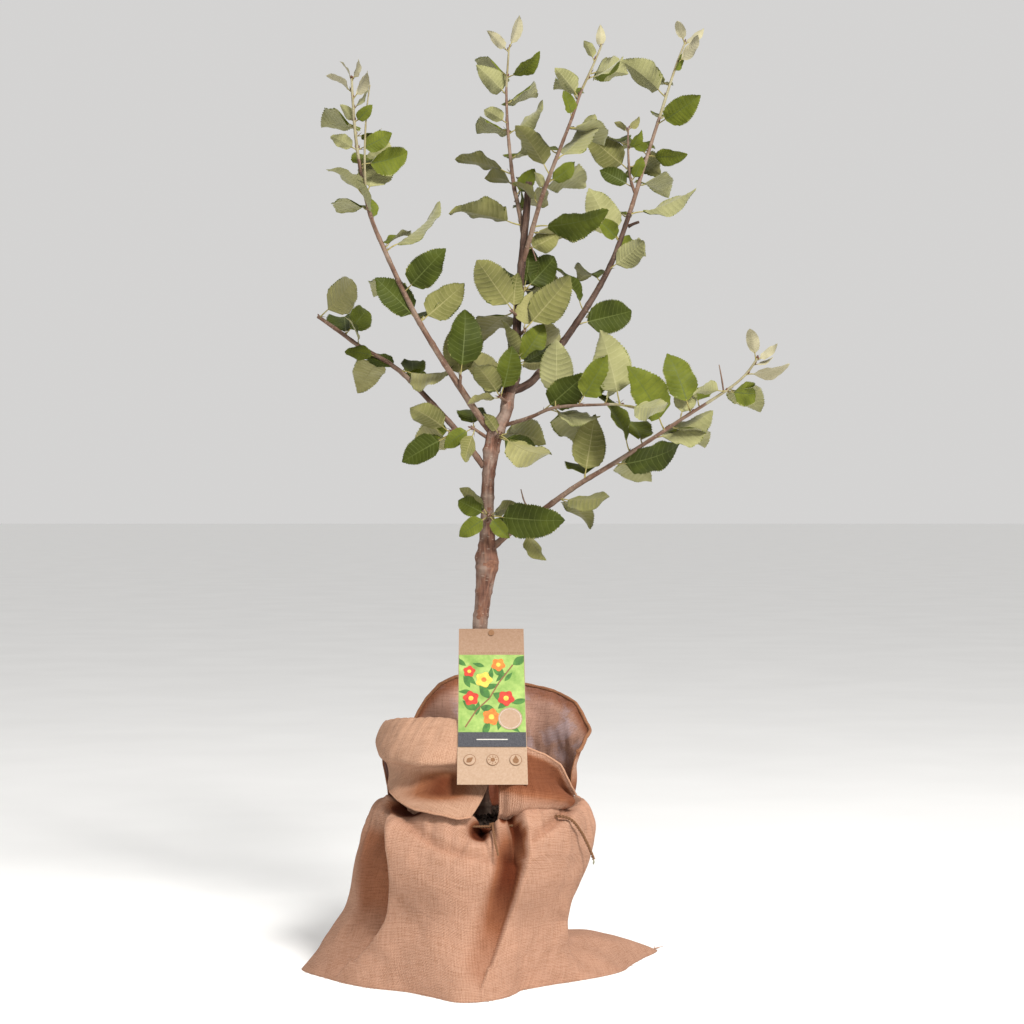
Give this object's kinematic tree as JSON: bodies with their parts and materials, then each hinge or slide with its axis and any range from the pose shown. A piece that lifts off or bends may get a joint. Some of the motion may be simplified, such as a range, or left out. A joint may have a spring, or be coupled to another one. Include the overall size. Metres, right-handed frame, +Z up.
{
  "type": "sapling with root ball",
  "caption": "Young leafy fruit sapling with upright boughs, its root ball wrapped in a tied jute sack with an open ruffled mouth and a hanging card tag.",
  "frame": {"origin": "on the flat underside of the root ball, straight below the trunk's foot", "axes": "+Z up along the trunk, -Y towards the front where the tag hangs"},
  "size_m": [0.5234, 0.3263, 1.0677],
  "materials": {
    "root_ball": "coarse jute weave",
    "sack": "coarse jute weave with a thin film inside",
    "string": "twisted twine",
    "tag": "printed card",
    "bark": "young bark with grey bloom",
    "leaves": "matt leaf"
  },
  "bodies": {
    "root": {"root_ball": "root_ball", "sack_back_wall": "sack", "sack_flap_left": "sack", "sack_flap_right": "sack", "tie_string": "string", "tag": "tag", "trunk": "bark", "bough_left": "bark", "bough_low_left": "bark", "bough_low_right": "bark", "bough_right": "bark", "bough_centre_right": "bark", "leaves_left": "leaves", "leaves_low_left": "leaves", "leaves_low_right": "leaves", "leaves_right": "leaves", "leaves_right_side": "leaves", "leaves_upper_left": "leaves", "leaves_upper_right": "leaves", "leaves_centre_right": "leaves", "leaves_spur_left": "leaves", "leaves_spur_low_left": "leaves", "leaves_spur_trunk_left": "leaves", "leaves_spur_fork": "leaves", "leaves_spur_leader_low": "leaves", "leaves_spur_leader_mid": "leaves", "leaves_spur_leader_right": "leaves", "leaves_spur_leader_left": "leaves", "leaves_spur_leader_top": "leaves", "leaves_spur_stem": "leaves", "leaves_spur_low_right": "leaves"}
  },
  "joints": []
}
